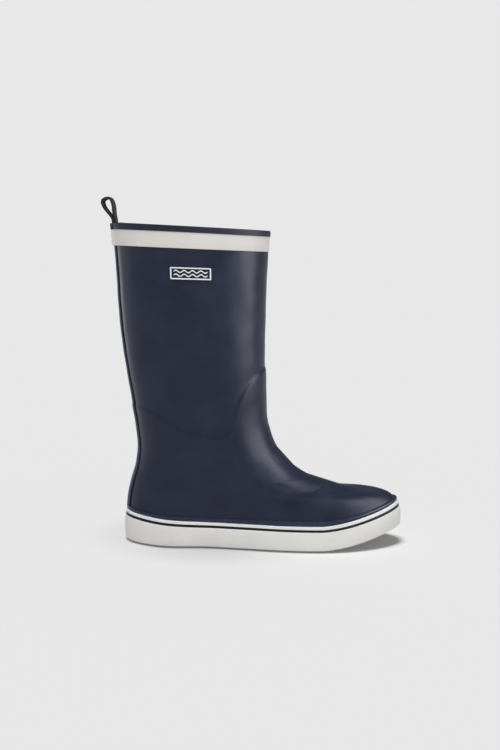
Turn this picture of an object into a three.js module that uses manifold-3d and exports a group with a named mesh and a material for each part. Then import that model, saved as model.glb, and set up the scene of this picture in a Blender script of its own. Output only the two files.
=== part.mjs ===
// Deck boot, right foot, in mm. +X points to the toe, +Y to the inner side of the foot, +Z up.
// The origin is on the ground at mid-length of the sole.
//
// Every layer is the same surface moved in or out along its normal. A point of that surface is named by its
// drop (how far below the rim it is, measured at the back) and its angle around the boot (0 at the back,
// half a turn at the front, first along the inner side).
import * as THREE from "three";
import { ParametricGeometry } from "three/addons/geometries/ParametricGeometry.js";
import { mergeVertices } from "three/addons/utils/BufferGeometryUtils.js";
import Module from "manifold-3d";

const wasm = await Module();
wasm.setup();

// Overall sizes
const SOLE_LENGTH = 285; // over the sidewall, heel to toe
const SOLE_WIDTH = 97; // over the sidewall at the ball
const LEG_HEIGHT = 324.7; // ground to the top of the rim binding, at the back
const LEG_DEPTH = 155; // rim, back to front
const LEG_WIDTH = 104; // rim, side to side
const RIM_DROP = 8.1; // the rim is this much lower at the front

// Sole
const FOXING_HEIGHT = 27.3; // ground to the top of the white stripe, at the waist
const HEEL_RISE = 5.8; // the stripe climbs this much at the heel
const HEEL_RISE_LENGTH = 85;
const TOE_SPRING = 18.6; // the tread lifts this much at the toe
const TOE_SPRING_LENGTH = 82;
const LINE_SPRING = 17.6; // the stripe lifts this much at the toe
const SIDEWALL_THICKNESS = 4.3;
const SIDEWALL_GROUND_GAP = 1.2;
const STRIPE_HEIGHT = 3;
const PINSTRIPE_HEIGHT = 3;
const BEAD_HEIGHT = 4;
const BEAD_PROUD = 2.3;
const TREAD_THICKNESS = 6;
const TREAD_INSET = 0.6; // the plate's edge lies this far inside the upper's outer face
const GROOVE_DEPTH = 2.4;
const GROOVE_WIDTH = 2;
const GROOVE_PITCH = 12;
const LAND_HALF_LENGTH = 15; // plain tread each way from the origin
const FILLER_THICKNESS = 6;
const SHANK_SIZE = [96, 14, 1.6];
const SHANK_CENTRE = -42;
const BOARD_THICKNESS = 2;
const FOOTBED_THICKNESS = 4;
const COVER_THICKNESS = 0.8;
const FOOTBED_CLEARANCE = 1.8; // side play of the loose footbed in the lining

// Upper
const SKIN = 1.8;
const REINFORCEMENT = 1;
const STIFFENER = 1.2;
const LINING = 0.9;
const GAP = 0.3; // between touching pieces
const DRAPE_GAP = 0.6; // between the skin and the layers under it, where it curves two ways
const BACKSTAY_WIDTH = 17;
const BACKSTAY_PROUD = 2.8;

// Collar and pull loop
const BINDING_HEIGHT = 6.1;
const BINDING_THICKNESS = 1.3;
const BINDING_TOP = 1.6; // over the top edges of skin and lining
const BAND_HEIGHT = 16.1;
const BAND_THICKNESS = 0.9;
const LOOP_WIDTH = 14;
const LOOP_THICKNESS = 2.1;
const LOOP_RISE = 24.6; // pivot to the top of the loop
const LOOP_LEAN = 22; // degrees backwards at rest
const LOOP_CLEARANCE = 1.1; // under the root of the loop
const TAIL_LENGTH = 20;
const TAIL_THICKNESS = 2.2; // both ends of the webbing, pressed together
const STITCH_SIZE = [11, 9]; // thread box, across and down
const THREAD = 0.9;
const THREAD_DEPTH = 0.5;

// Badge
const BADGE_SIZE = [39.5, 12.6];
const BADGE_DROP = 46.9; // rim to the badge's middle
const BADGE_ALONG = 0.494; // the badge's middle, as a share of the way from back to front
const BADGE_THICKNESS = 0.8;
const BORDER_WIDTH = 1.3;
const BORDER_PROUD = 0.7;
const WAVE_LENGTH = 8;
const WAVE_AMPLITUDE = 1.1;
const WAVE_WIDTH = 1.2;
const WAVES = 4;

const SEGMENTS = 32; // facets around the boot
const HALF = SEGMENTS / 2;

// Stations of the surface, from the rim down. Each is a loop in the plane through its back and front points:
// [height at back, x at back, depth, front is lower by, half width, share of the sole's outline, narrower by
// this share over the toes]
const ANKLE_TOP = 120;
const STATIONS = [
  [324.7, -148.3, 155, RIM_DROP, 52, 0, 0],
  [290, -145.4, 151.2, RIM_DROP * 0.7, 51.5, 0, 0],
  [245, -142.8, 146.9, 2, 50.5, 0, 0],
  [200, -138.9, 142, 1, 49, 0, 0],
  [150, -131.1, 134.9, -2, 45, 0, 0],
  [120, -126.5, 133.6, 0.4, 41.5, 0.08, 0.02],
  [98, -124.9, 145.2, 7.9, 39.5, 0.28, 0.07],
  [80, -127.1, 175.5, 12.9, 39, 0.45, 0.15],
  [64, -132.1, 220.1, 9.1, 40.5, 0.66, 0.2],
  [48, -135.7, 257.9, -3.8, 43.5, 0.9, 0.15],
];
const NOMINAL = { length: 285, depth: 155, width: 104, soleWidth: 97, height: 324.7 };

// The sole's outline inside the foxing: half width at each share of the length, outer and inner side.
const OUTLINE_AT = [0, 0.137, 0.29, 0.45, 0.6, 0.81, 1];
const OUTLINE_OUTER = [49, 47, 36.3, 38.9, 45.4, 52.8, 50];
const OUTLINE_INNER = [49, 46.5, 33, 33.5, 42.5, 52.5, 50];
const TOE_INWARD = 4; // the toe tip sits this far to the inner side
const WALL_BACK = [-137, -138, -137.6]; // the wall behind the foxing: at its top, middle and foot
const WALL_FRONT = [135.1, 138.2, 138.2];
const WALL_LEVELS = [BEAD_HEIGHT, -10, -26]; // above the top of the white stripe

// Smooth curve through (at, value) pairs.
function curve(at, values, t) {
  const slope = (i) => {
    const a = Math.max(i - 1, 0);
    const b = Math.min(i + 1, at.length - 1);
    return (values[b] - values[a]) / (at[b] - at[a]);
  };
  let i = 0;
  while (i < at.length - 2 && t > at[i + 1]) i++;
  const h = at[i + 1] - at[i];
  const u = THREE.MathUtils.clamp((t - at[i]) / h, 0, 1);
  return (
    (1 + 2 * u) * (1 - u) ** 2 * values[i] +
    u * (1 - u) ** 2 * h * slope(i) +
    u * u * (3 - 2 * u) * values[i + 1] +
    u * u * (u - 1) * h * slope(i + 1)
  );
}

const lengthScale = SOLE_LENGTH / NOMINAL.length;
const scaledHeight = (z) =>
  z <= ANKLE_TOP
    ? z
    : ANKLE_TOP + ((z - ANKLE_TOP) * (LEG_HEIGHT - ANKLE_TOP)) / (NOMINAL.height - ANKLE_TOP);
const WALL_DROP = LEG_HEIGHT - 32.5; // drop of the stripe's top edge
const atLevel = (level) => WALL_DROP - level;

// One table row per station. wall is 1 where the rows follow the stripe's line.
const TABLE = STATIONS.map(([z, x, depth, fall, width, share, narrow]) => {
  const stretch = (1 - share) * (LEG_DEPTH / NOMINAL.depth) + share * lengthScale;
  return {
    drop: LEG_HEIGHT - scaledHeight(z),
    back: x * lengthScale,
    height: scaledHeight(z),
    depth: depth * stretch,
    fall,
    width: (width * LEG_WIDTH) / NOMINAL.width,
    share,
    narrow,
    wall: 0,
  };
});
WALL_LEVELS.forEach((level, i) =>
  TABLE.push({
    drop: atLevel(level),
    back: WALL_BACK[i] * lengthScale,
    height: 32.5 + level,
    depth: (WALL_FRONT[i] - WALL_BACK[i]) * lengthScale,
    fall: -9.5,
    width: 46,
    share: 1,
    narrow: 0,
    wall: 1,
  }),
);
const DROPS = TABLE.map((row) => row.drop);
const along = (key, drop) => curve(DROPS, TABLE.map((row) => row[key]), drop);

const toeShare = (x) =>
  Math.max(0, (x - SOLE_LENGTH / 2 + TOE_SPRING_LENGTH) / TOE_SPRING_LENGTH) ** 1.5;
const treadHeight = (x) => TOE_SPRING * toeShare(x);
const heelShare = (x) =>
  Math.max(0, (-SOLE_LENGTH / 2 + HEEL_RISE_LENGTH - x) / HEEL_RISE_LENGTH) ** 1.5;
const stripeHeight = (x) => FOXING_HEIGHT + HEEL_RISE * heelShare(x) + LINE_SPRING * toeShare(x);

// The surface itself, before any offset.
function surface(drop, angle) {
  const c = (1 - Math.cos(angle)) / 2;
  const x = along("back", drop) + c * along("depth", drop);
  const share = along("share", drop);
  const outline =
    (curve(OUTLINE_AT, Math.sin(angle) > 0 ? OUTLINE_INNER : OUTLINE_OUTER, c) * SOLE_WIDTH) /
    NOMINAL.soleWidth;
  const toes = THREE.MathUtils.smoothstep(c, 0.35, 0.85);
  const half = (along("width", drop) * (1 - share) + outline * share) * (1 - along("narrow", drop) * toes);
  const flat = along("height", drop) - c * along("fall", drop);
  const wall = along("wall", drop);
  const z = flat * (1 - wall) + (stripeHeight(x) + WALL_DROP - drop) * wall;
  return new THREE.Vector3(x, Math.sin(angle) * half + TOE_INWARD * share * c ** 3, z);
}

// A point of the surface moved out (or in, below zero) along its normal.
function layer(drop, angle, out) {
  const step = 1e-3;
  const around = surface(drop, angle + step).sub(surface(drop, angle - step));
  const down = surface(drop + 1, angle).sub(surface(drop - 1, angle));
  return surface(drop, angle).addScaledVector(around.cross(down).normalize(), out);
}

// Welds a geometry's corners and drops the faces that a pinched end leaves with no area.
function weld(geometry) {
  const bare = geometry.clone();
  bare.deleteAttribute("normal");
  bare.deleteAttribute("uv");
  const merged = mergeVertices(bare, 1e-3);
  const kept = [];
  for (let i = 0; i < merged.index.count; i += 3) {
    const [a, b, c] = [0, 1, 2].map((k) => merged.index.getX(i + k));
    if (a !== b && b !== c && c !== a) kept.push(a, b, c);
  }
  merged.setIndex(kept);
  return merged;
}

function mesh(name, geometry, color, roughness = 0.6) {
  const made = new THREE.Mesh(geometry, new THREE.MeshStandardMaterial({ color, roughness }));
  made.name = name;
  return made;
}

// Moves every vertex of a geometry with f(vertex).
function bend(geometry, f) {
  const position = geometry.getAttribute("position");
  const vertex = new THREE.Vector3();
  for (let i = 0; i < position.count; i++) {
    vertex.fromBufferAttribute(position, i);
    position.setXYZ(i, ...f(vertex).toArray());
  }
  return weld(geometry);
}

// A closed band right round the boot. section(angle) is its outline there, as [drop, out] pairs.
function ring(section) {
  const count = section(0).length;
  return weld(
    new ParametricGeometry(
      (u, v, target) => {
        const angle = ((Math.round(u * SEGMENTS) % SEGMENTS) * 2 * Math.PI) / SEGMENTS;
        const [drop, out] = section(angle)[Math.round(v * count) % count];
        target.copy(layer(drop, angle, out));
      },
      SEGMENTS,
      count,
    ),
  );
}

// The outline of a shell through the given drops, between two offsets that may vary.
function shell(drops, outer, inner, angle) {
  const there = drops.map((drop) => (typeof drop === "function" ? drop(angle) : drop));
  return [
    ...there.map((drop) => [drop, outer(drop, angle)]),
    ...there.map((drop) => [drop, inner(drop, angle)]).reverse(),
  ];
}

// A plate over part of the surface, through the given drops and angles.
function patch(drops, angles, outer, inner) {
  const box = new THREE.BoxGeometry(1, 1, 1, angles.length - 1, drops.length - 1, 1);
  return bend(box, ({ x, y, z }) => {
    const i = Math.round((x + 0.5) * (angles.length - 1));
    const drop = drops[Math.round((y + 0.5) * (drops.length - 1))];
    return layer(drop, angles[i], z > 0 ? outer(drop, i) : inner(drop, i));
  });
}

// A level slab of the sole. Its outline is the surface at the given drop, moved out; low and high give its
// height at x. from and to are segment numbers, heel to toe.
function slab(drop, out, low, high, from = 0, to = HALF) {
  const box = new THREE.BoxGeometry(1, 1, 1, to - from, 1, 1);
  return bend(box, ({ x, y, z }) => {
    const turn = ((from + Math.round((x + 0.5) * (to - from))) * Math.PI) / HALF;
    const point = layer(drop, y > 0 ? turn : 2 * Math.PI - turn, out);
    return point.setZ(z > 0 ? high(point.x) : low(point.x));
  });
}

function solid(geometry) {
  return new wasm.Manifold(
    new wasm.Mesh({
      numProp: 3,
      vertProperties: new Float32Array(geometry.getAttribute("position").array),
      triVerts: new Uint32Array(geometry.index.array),
    }),
  );
}

function geometryOf(body) {
  const { vertProperties, triVerts, numProp } = body.getMesh();
  const position = new THREE.BufferAttribute(vertProperties, numProp);
  const bare = new THREE.BufferGeometry().setAttribute("position", position);
  return bare.setIndex(new THREE.BufferAttribute(triVerts, 1));
}

const box = (x, y, z, at) => weld(new THREE.BoxGeometry(x, y, z).translate(...at));

// Drops shared by every layer, so that their facets run parallel. Each span between stations is cut in parts.
const PARTS = [1, 1, 1, 1, 2, 2, 3, 3, 3, 2];
const SHARED = PARTS.flatMap((parts, k) =>
  Array.from({ length: parts }, (_, i) => DROPS[k] + ((DROPS[k + 1] - DROPS[k]) * i) / parts),
).slice(1);
const COLLAR = [BINDING_TOP, BINDING_TOP + 6, BINDING_HEIGHT + BAND_HEIGHT + 2];
const WALL = [BEAD_HEIGHT, 0, -STRIPE_HEIGHT, -STRIPE_HEIGHT - PINSTRIPE_HEIGHT, -12].map(atLevel);
const FOOT_ROWS = [WALL[0], WALL[1], WALL.at(-1)];
const angleAt = (k) => (k * 2 * Math.PI) / SEGMENTS;

// Drop at which a height above the tread lies, on the wall at this angle.
function dropAbove(height, angle) {
  const { x } = surface(atLevel(-12), angle);
  return atLevel(treadHeight(x) + height - stripeHeight(x));
}

// How deep each layer lies
const skinIn = -SKIN;
const reinforcementOut = skinIn - DRAPE_GAP;
const reinforcementIn = reinforcementOut - REINFORCEMENT;
const stiffenerOut = reinforcementIn - GAP;
const stiffenerIn = stiffenerOut - STIFFENER;

// The lining lies against the skin in the leg, makes room for the loop's tail, and in the foot lies under
// the stiffeners.
function liningOut(drop, angle) {
  const back = Math.min(angle, 2 * Math.PI - angle);
  const tail = back < 1.5 * angleAt(1) && drop < TAIL_LENGTH + 8 ? TAIL_THICKNESS + 0.5 + GAP : 0;
  const foot = THREE.MathUtils.smoothstep(drop, DROPS[3] - 20, DROPS[3] + 10);
  return skinIn - GAP - tail - foot * (skinIn - GAP - (stiffenerIn - GAP));
}
const liningIn = (drop, angle) => liningOut(drop, angle) - LINING;
const FOOT_LINING_IN = stiffenerIn - GAP - LINING;

// The ridge line: the top edge of the reinforcement, as a drop at each share of the loop, outer side.
const RIDGE_AT = [0, 0.12, 0.22, 0.3, 0.4, 0.54, 0.65, 0.72, 0.77, 0.84, 0.92, 1];
const RIDGE_HEIGHT = [142, 139, 133, 125.5, 118.5, 116, 116, 120, 134, 154, 168.5, 179];
const ridgeDrop = (angle) =>
  LEG_HEIGHT - scaledHeight(curve(RIDGE_AT, RIDGE_HEIGHT, (1 - Math.cos(angle)) / 2));

function upperSkin() {
  const drops = [...COLLAR, ...SHARED, ...WALL, (a) => dropAbove(TREAD_THICKNESS + GAP, a)];
  return ring((a) => shell(drops, () => 0, () => skinIn, a));
}

function lining() {
  const foot = (a) => dropAbove(TREAD_THICKNESS + GAP, a);
  const drops = [...COLLAR, DROPS[1] - 4, ...SHARED, ...FOOT_ROWS, foot];
  return ring((a) => shell(drops, liningOut, liningIn, a));
}

function footReinforcement() {
  const rows = [...SHARED.filter((drop) => drop > DROPS[3]), ...FOOT_ROWS];
  return ring((a) => {
    const top = ridgeDrop(a);
    const drops = [...rows.map((drop) => Math.max(drop, top)), dropAbove(TREAD_THICKNESS + GAP, a)];
    return shell([top, ...drops], () => reinforcementOut, () => reinforcementIn, a);
  });
}

function stiffener(from, to, top) {
  const drops = [...SHARED.filter((drop) => drop >= top - 0.01), ...FOOT_ROWS];
  const angles = Array.from({ length: to - from + 1 }, (_, i) => angleAt(from + i));
  return patch(drops, angles, () => stiffenerOut, () => stiffenerIn);
}

function backstay() {
  const drops = [BINDING_HEIGHT + BAND_HEIGHT + 2 * GAP + 0.4, ...SHARED, WALL[0] - GAP];
  const shape = [-1, -0.8, -0.4, 0, 0.4, 0.8, 1];
  const angles = shape.map((s) => (s * BACKSTAY_WIDTH) / 2 / 48);
  return patch(
    drops,
    angles,
    (drop, i) => GAP + 0.4 + (BACKSTAY_PROUD - GAP - 0.4) * Math.sqrt(1 - shape[i] ** 2),
    () => GAP,
  );
}

function foxingBand(top, bottom, out) {
  return ring((a) => [
    [top(a), GAP],
    [top(a), out(0)],
    [(top(a) + bottom(a)) / 2, out(0.5)],
    [bottom(a), out(1)],
    [bottom(a), GAP],
  ]);
}

function foxingBead() {
  const top = atLevel(BEAD_HEIGHT);
  const bottom = atLevel(GAP);
  const row = (share) => top + (bottom - top) * share;
  return ring(() => [
    [top, GAP],
    [top, GAP + 0.7],
    [row(0.25), GAP + BEAD_PROUD * 0.85],
    [row(0.5), GAP + BEAD_PROUD],
    [row(0.75), GAP + BEAD_PROUD * 0.9],
    [bottom, GAP + 1.2],
    [bottom, GAP],
  ]);
}

function sidewall() {
  const top = atLevel(-STRIPE_HEIGHT - PINSTRIPE_HEIGHT);
  return ring((a) => {
    const foot = dropAbove(SIDEWALL_GROUND_GAP, a);
    const row = (share) => top + (foot - top) * share;
    return [
      [top, GAP],
      [top, SIDEWALL_THICKNESS - 0.8],
      [row(0.35), SIDEWALL_THICKNESS],
      [row(0.7), SIDEWALL_THICKNESS + 0.2],
      [row(0.9), SIDEWALL_THICKNESS - 0.4],
      [foot, SIDEWALL_THICKNESS - 2],
      [foot, GAP],
      [dropAbove(TREAD_THICKNESS + GAP, a), GAP],
      [WALL.at(-1), GAP],
    ];
  });
}

function treadGrooves() {
  const grooves = [];
  const reach = SOLE_LENGTH / 2 - 16;
  for (let x = -reach; x <= reach; x += GROOVE_PITCH) {
    if (Math.abs(x) < LAND_HALF_LENGTH + GROOVE_WIDTH) continue;
    const zigzag = new THREE.Shape();
    const half = 26;
    const points = [];
    for (let k = 0; k <= 4; k++) points.push([x + (k % 2 ? 3 : -3), -half + (k * half) / 2]);
    points.forEach(([px, py], k) =>
      k ? zigzag.lineTo(px - GROOVE_WIDTH / 2, py) : zigzag.moveTo(px - GROOVE_WIDTH / 2, py));
    points.reverse().forEach(([px, py]) => zigzag.lineTo(px + GROOVE_WIDTH / 2, py));
    const depth = treadHeight(x) + GROOVE_DEPTH + 4;
    grooves.push(
      solid(weld(new THREE.ExtrudeGeometry(zigzag, { depth, bevelEnabled: false }).translate(0, 0, -4))),
    );
  }
  return grooves;
}

function outsoleTread() {
  const plate = slab(atLevel(-20), -TREAD_INSET, treadHeight, (x) => treadHeight(x) + TREAD_THICKNESS);
  return geometryOf(solid(plate).subtract(wasm.Manifold.union(treadGrooves())));
}

const FILLER_FOOT = TREAD_THICKNESS + GAP;
const BOARD_FOOT = FILLER_FOOT + FILLER_THICKNESS + GAP;
const FOOTBED_FOOT = BOARD_FOOT + BOARD_THICKNESS + GAP;
const COVER_FOOT = FOOTBED_FOOT + FOOTBED_THICKNESS + GAP;
const above = (height) => (x) => treadHeight(x) + height;
const innerSlab = (play, foot, thickness) =>
  slab(atLevel(-20), FOOT_LINING_IN - play, above(foot), above(foot + thickness));

function filler() {
  const body = innerSlab(GAP, FILLER_FOOT, FILLER_THICKNESS);
  const [length, width, thickness] = SHANK_SIZE;
  const top = FILLER_FOOT + FILLER_THICKNESS;
  const pocket = box(length + 2 * GAP, width + 2 * GAP, 2 * (thickness + GAP), [SHANK_CENTRE, 0, top]);
  return geometryOf(solid(body).subtract(solid(pocket)));
}

function shank() {
  const [length, width, thickness] = SHANK_SIZE;
  return box(length, width, thickness, [SHANK_CENTRE, 0, FILLER_FOOT + FILLER_THICKNESS - thickness / 2]);
}

// Collar
const collarBulge = (angle) => (angle < 0.01 ? BACKSTAY_PROUD : 0); // it stands over the backstay
const bandOut = (angle) => GAP + BAND_THICKNESS + collarBulge(angle);

function topBand() {
  const top = BINDING_HEIGHT + GAP;
  const bottom = BINDING_HEIGHT + BAND_HEIGHT;
  return ring((a) => [
    [top, GAP],
    [top, bandOut(a) - 0.2],
    [top + 1.5, bandOut(a)],
    [bottom - 1.5, bandOut(a)],
    [bottom, bandOut(a) - 0.3],
    [bottom, GAP],
  ]);
}

function rimBinding() {
  return ring((a) => {
    const outer = GAP + BINDING_THICKNESS + collarBulge(a);
    const inner = liningIn(0, a) - GAP;
    const web = BINDING_TOP - GAP;
    return [
      [web, GAP],
      [BINDING_HEIGHT, GAP],
      [BINDING_HEIGHT, outer - 0.3],
      [1, outer],
      [0, outer - 0.8],
      [0, inner - BINDING_THICKNESS + 0.5],
      [1, inner - BINDING_THICKNESS],
      [BINDING_HEIGHT, inner - BINDING_THICKNESS],
      [BINDING_HEIGHT, inner],
      [web, inner],
    ].reverse();
  });
}

const LOOP_PIVOT = (() => {
  const rim = surface(0, 0);
  return new THREE.Vector3(rim.x + SKIN / 2 - 0.5, 0, rim.z + LOOP_CLEARANCE + LOOP_THICKNESS);
})();

// Side view of the loop's outer edge, as [across, up] from the pivot before it leans.
function loopOutline(inset) {
  const belly = LOOP_RISE * 0.24 - inset;
  const top = LOOP_RISE - inset;
  const shape = new THREE.Shape();
  const root = LOOP_THICKNESS - inset;
  const foot = inset ? LOOP_RISE * 0.24 : -LOOP_THICKNESS;
  shape.moveTo(0, foot);
  if (inset) shape.lineTo(0.35, foot + 1);
  else shape.bezierCurveTo(root * 0.8, foot, root, foot + 0.6, root, 0.2);
  shape.bezierCurveTo(root + 0.4, LOOP_RISE * 0.35, belly, LOOP_RISE * 0.5, belly, LOOP_RISE * 0.74);
  shape.bezierCurveTo(belly, top - 1, belly * 0.6, top, 0, top);
  shape.bezierCurveTo(-belly * 0.6, top, -belly, top - 1, -belly, LOOP_RISE * 0.74);
  const end = inset ? [-0.35, foot + 1] : [-root, 0.2];
  shape.bezierCurveTo(-belly, LOOP_RISE * 0.5, -root - 0.4, LOOP_RISE * 0.35, ...end);
  if (!inset) shape.bezierCurveTo(-root, foot + 0.6, -root * 0.8, foot, 0, foot);
  return shape;
}

function pullLoop() {
  const shape = loopOutline(0);
  shape.holes.push(new THREE.Path(loopOutline(LOOP_THICKNESS).getPoints(6)));
  const flat = new THREE.ExtrudeGeometry(shape, {
    depth: LOOP_WIDTH, bevelEnabled: false, curveSegments: 6,
  });
  flat.translate(0, 0, -LOOP_WIDTH / 2).rotateX(Math.PI / 2);
  flat.rotateY((-LOOP_LEAN * Math.PI) / 180).translate(...LOOP_PIVOT.toArray());
  return weld(flat);
}

function pullLoopTail() {
  const angles = [-1, -0.5, 0, 0.5, 1].map((s) => (s * LOOP_WIDTH) / 2 / 52);
  const out = skinIn - GAP - 0.25;
  return patch([BINDING_TOP + 0.4, 10, TAIL_LENGTH], angles, () => out, () => out - TAIL_THICKNESS);
}

// A flat shape laid on the outer side of the leg: x runs towards the toe, y up and z out, from the point at
// the given drop and turn.
function onLeg(geometry, drop, turn, out) {
  return bend(geometry, ({ x, y, z }) => {
    const at = drop - y;
    const share = (1 - Math.cos(turn)) / 2 + x / along("depth", at);
    return layer(at, 2 * Math.PI - Math.acos(1 - 2 * share), out + z);
  });
}
const BADGE_TURN = Math.acos(1 - 2 * BADGE_ALONG);

function badgeBase() {
  const [width, height] = BADGE_SIZE;
  const plate = new THREE.BoxGeometry(width, height, BADGE_THICKNESS, 10, 2, 1);
  return onLeg(plate.translate(0, 0, BADGE_THICKNESS / 2), BADGE_DROP, BADGE_TURN, GAP);
}

// A closed ribbon of the given width along a row of [x, y] points, with rectangular section.
function ribbon(points, width, thickness) {
  const strip = new THREE.BoxGeometry(1, 1, thickness, points.length - 1, 1, 1);
  const place = strip.getAttribute("position");
  for (let i = 0; i < place.count; i++) {
    const k = Math.round((place.getX(i) + 0.5) * (points.length - 1));
    const side = Math.sign(place.getY(i)) * width * 0.5;
    place.setXYZ(i, points[k][0], points[k][1] + side, place.getZ(i) + thickness / 2);
  }
  return strip;
}

function badgeBorder() {
  const [width, height] = BADGE_SIZE;
  const bars = [
    [width, BORDER_WIDTH, 0, (height - BORDER_WIDTH) / 2],
    [width, BORDER_WIDTH, 0, -(height - BORDER_WIDTH) / 2],
    [BORDER_WIDTH, height, (width - BORDER_WIDTH) / 2, 0],
    [BORDER_WIDTH, height, -(width - BORDER_WIDTH) / 2, 0],
  ].map(([w, h, x, y]) => {
    const bar = new THREE.BoxGeometry(w, h, BORDER_PROUD, w > h ? 10 : 1, 1, 1);
    return solid(weld(bar.translate(x, y, BORDER_PROUD / 2)));
  });
  const frame = geometryOf(wasm.Manifold.union(bars));
  return onLeg(frame, BADGE_DROP, BADGE_TURN, GAP + BADGE_THICKNESS + GAP);
}

function badgeWave(up) {
  const steps = 8 * WAVES;
  const points = Array.from({ length: steps + 1 }, (_, i) => {
    const x = (i / steps - 0.5) * WAVES * WAVE_LENGTH;
    return [x, up + WAVE_AMPLITUDE * Math.sin((2 * Math.PI * x) / WAVE_LENGTH)];
  });
  const out = GAP + BADGE_THICKNESS + GAP;
  return onLeg(ribbon(points, WAVE_WIDTH, BORDER_PROUD), BADGE_DROP, BADGE_TURN, out);
}

// The thread box follows the collar, whose two back facets meet in a ridge at the back.
function collarStitch() {
  const [width, height] = STITCH_SIZE;
  const middle = BINDING_HEIGHT + BAND_HEIGHT / 2;
  const back = layer(middle, 0, bandOut(0) + GAP);
  const side = layer(middle, angleAt(1), bandOut(angleAt(1)) + GAP);
  const slope = (side.x - back.x) / side.y;
  const bars = [
    [width, THREAD, 0, (height - THREAD) / 2], [width, THREAD, 0, -(height - THREAD) / 2],
    [THREAD, height, (width - THREAD) / 2, 0], [THREAD, height, -(width - THREAD) / 2, 0],
  ].map(([w, h, y, up]) => {
    const bar = new THREE.BoxGeometry(THREAD_DEPTH, w, h, 1, 2, 1).translate(-THREAD_DEPTH / 2, y, up);
    return solid(bend(bar, ({ x, y, z }) => {
      const at = layer(middle - z, 0, bandOut(0) + GAP);
      return at.add(new THREE.Vector3(x + slope * Math.abs(y), y, 0));
    }));
  });
  return geometryOf(wasm.Manifold.union(bars));
}

const NAVY = 0x262a37;
const DARK = 0x1e1e28;
const WHITE = 0xd7dcd6;

const boot = new THREE.Group();
boot.name = "deck_boot";
boot.add(
  mesh("outsole_tread", outsoleTread(), 0xb9b7b2, 0.8),
  mesh("sidewall_foxing", sidewall(), 0xcfcfcd),
  mesh("foxing_pinstripe", foxingBand(
    () => atLevel(-STRIPE_HEIGHT - GAP / 2), () => atLevel(-STRIPE_HEIGHT - PINSTRIPE_HEIGHT + GAP),
    () => SIDEWALL_THICKNESS - 1.2), DARK),
  mesh("foxing_white_stripe", foxingBand(
    () => atLevel(0), () => atLevel(-STRIPE_HEIGHT + GAP / 2), () => SIDEWALL_THICKNESS - 1), WHITE),
  mesh("foxing_bead", foxingBead(), 0x444c5f),
  mesh("midsole_filler", filler(), 0x8a8578, 0.9),
  mesh("shank", shank(), 0x9aa0a6, 0.35),
  mesh("insole_board", innerSlab(GAP, BOARD_FOOT, BOARD_THICKNESS), 0xa08a68, 0.9),
  mesh("footbed", innerSlab(FOOTBED_CLEARANCE, FOOTBED_FOOT, FOOTBED_THICKNESS), 0x6f7480, 0.9),
  mesh("footbed_cover", innerSlab(FOOTBED_CLEARANCE + 0.4, COVER_FOOT, COVER_THICKNESS), 0x3b4150, 0.95),
  mesh("upper_skin", upperSkin(), NAVY, 0.45),
  mesh("foot_reinforcement", footReinforcement(), 0x33384a, 0.8),
  mesh("toe_puff", stiffener(12, 20, DROPS[8]), 0x4a4438, 0.8),
  mesh("heel_counter", stiffener(-5, 5, DROPS[7]), 0x4a4438, 0.8),
  mesh("lining", lining(), 0x2f3542, 0.95),
  mesh("backstay_bead", backstay(), 0x2b3040, 0.45),
  mesh("top_band", topBand(), 0xcecbc7, 0.7),
  mesh("rim_binding", rimBinding(), 0x323441, 0.6),
  mesh("pull_loop", pullLoop(), 0x171113, 0.9),
  mesh("pull_loop_tail", pullLoopTail(), 0x171113, 0.9),
  mesh("collar_stitch", collarStitch(), 0xbdbab5, 0.9),
  mesh("badge_base", badgeBase(), NAVY, 0.6),
  mesh("badge_border", badgeBorder(), 0xc4c5ca, 0.6),
  mesh("badge_wave_upper", badgeWave(1.9), 0xc4c5ca, 0.6),
  mesh("badge_wave_lower", badgeWave(-1.9), 0xc4c5ca, 0.6),
);

export default boot;
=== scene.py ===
import logging
import math
from dataclasses import dataclass, field
from enum import Enum
from typing import Callable, Sequence

import bmesh
import bpy
import numpy as np
from mathutils import Matrix, Vector


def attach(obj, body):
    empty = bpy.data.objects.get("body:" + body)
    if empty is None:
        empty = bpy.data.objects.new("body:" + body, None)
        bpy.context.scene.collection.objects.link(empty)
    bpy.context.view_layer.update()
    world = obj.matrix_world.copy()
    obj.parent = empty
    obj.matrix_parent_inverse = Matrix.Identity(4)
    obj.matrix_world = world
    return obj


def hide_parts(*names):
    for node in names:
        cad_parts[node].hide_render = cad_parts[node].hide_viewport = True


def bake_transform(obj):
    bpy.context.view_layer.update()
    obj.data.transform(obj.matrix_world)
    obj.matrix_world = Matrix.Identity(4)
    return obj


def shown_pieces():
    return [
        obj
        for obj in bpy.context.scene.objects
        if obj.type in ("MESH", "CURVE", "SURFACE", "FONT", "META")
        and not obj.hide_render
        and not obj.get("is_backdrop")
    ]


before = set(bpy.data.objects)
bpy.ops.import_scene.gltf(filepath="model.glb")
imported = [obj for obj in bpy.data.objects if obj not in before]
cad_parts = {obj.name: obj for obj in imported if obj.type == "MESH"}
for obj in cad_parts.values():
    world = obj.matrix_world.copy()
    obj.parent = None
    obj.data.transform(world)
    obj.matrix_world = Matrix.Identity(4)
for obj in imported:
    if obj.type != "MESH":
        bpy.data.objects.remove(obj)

LOG = logging.getLogger("deck_boot")
MM = 0.001
WELD = 1e-6  # points nearer than this, in metres, are one
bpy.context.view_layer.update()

Colour = tuple[float, float, float]
Array = np.ndarray
Outline = Callable[[Array, Array], tuple[Array, Array]]


class Body(str, Enum):
    """The bodies that pieces ride on."""

    BOOT = "boot"
    LOOP = "webbing_loop"
    FOOTBED = "loose_footbed"


def srgb(red: float, green: float, blue: float) -> Colour:
    """Linear colour from 0 to 255 display values."""

    def linear(value: float) -> float:
        """One channel, display to linear."""
        share = value / 255
        return share / 12.92 if share <= 0.04045 else ((share + 0.055) / 1.055) ** 2.4

    return linear(red), linear(green), linear(blue)


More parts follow.
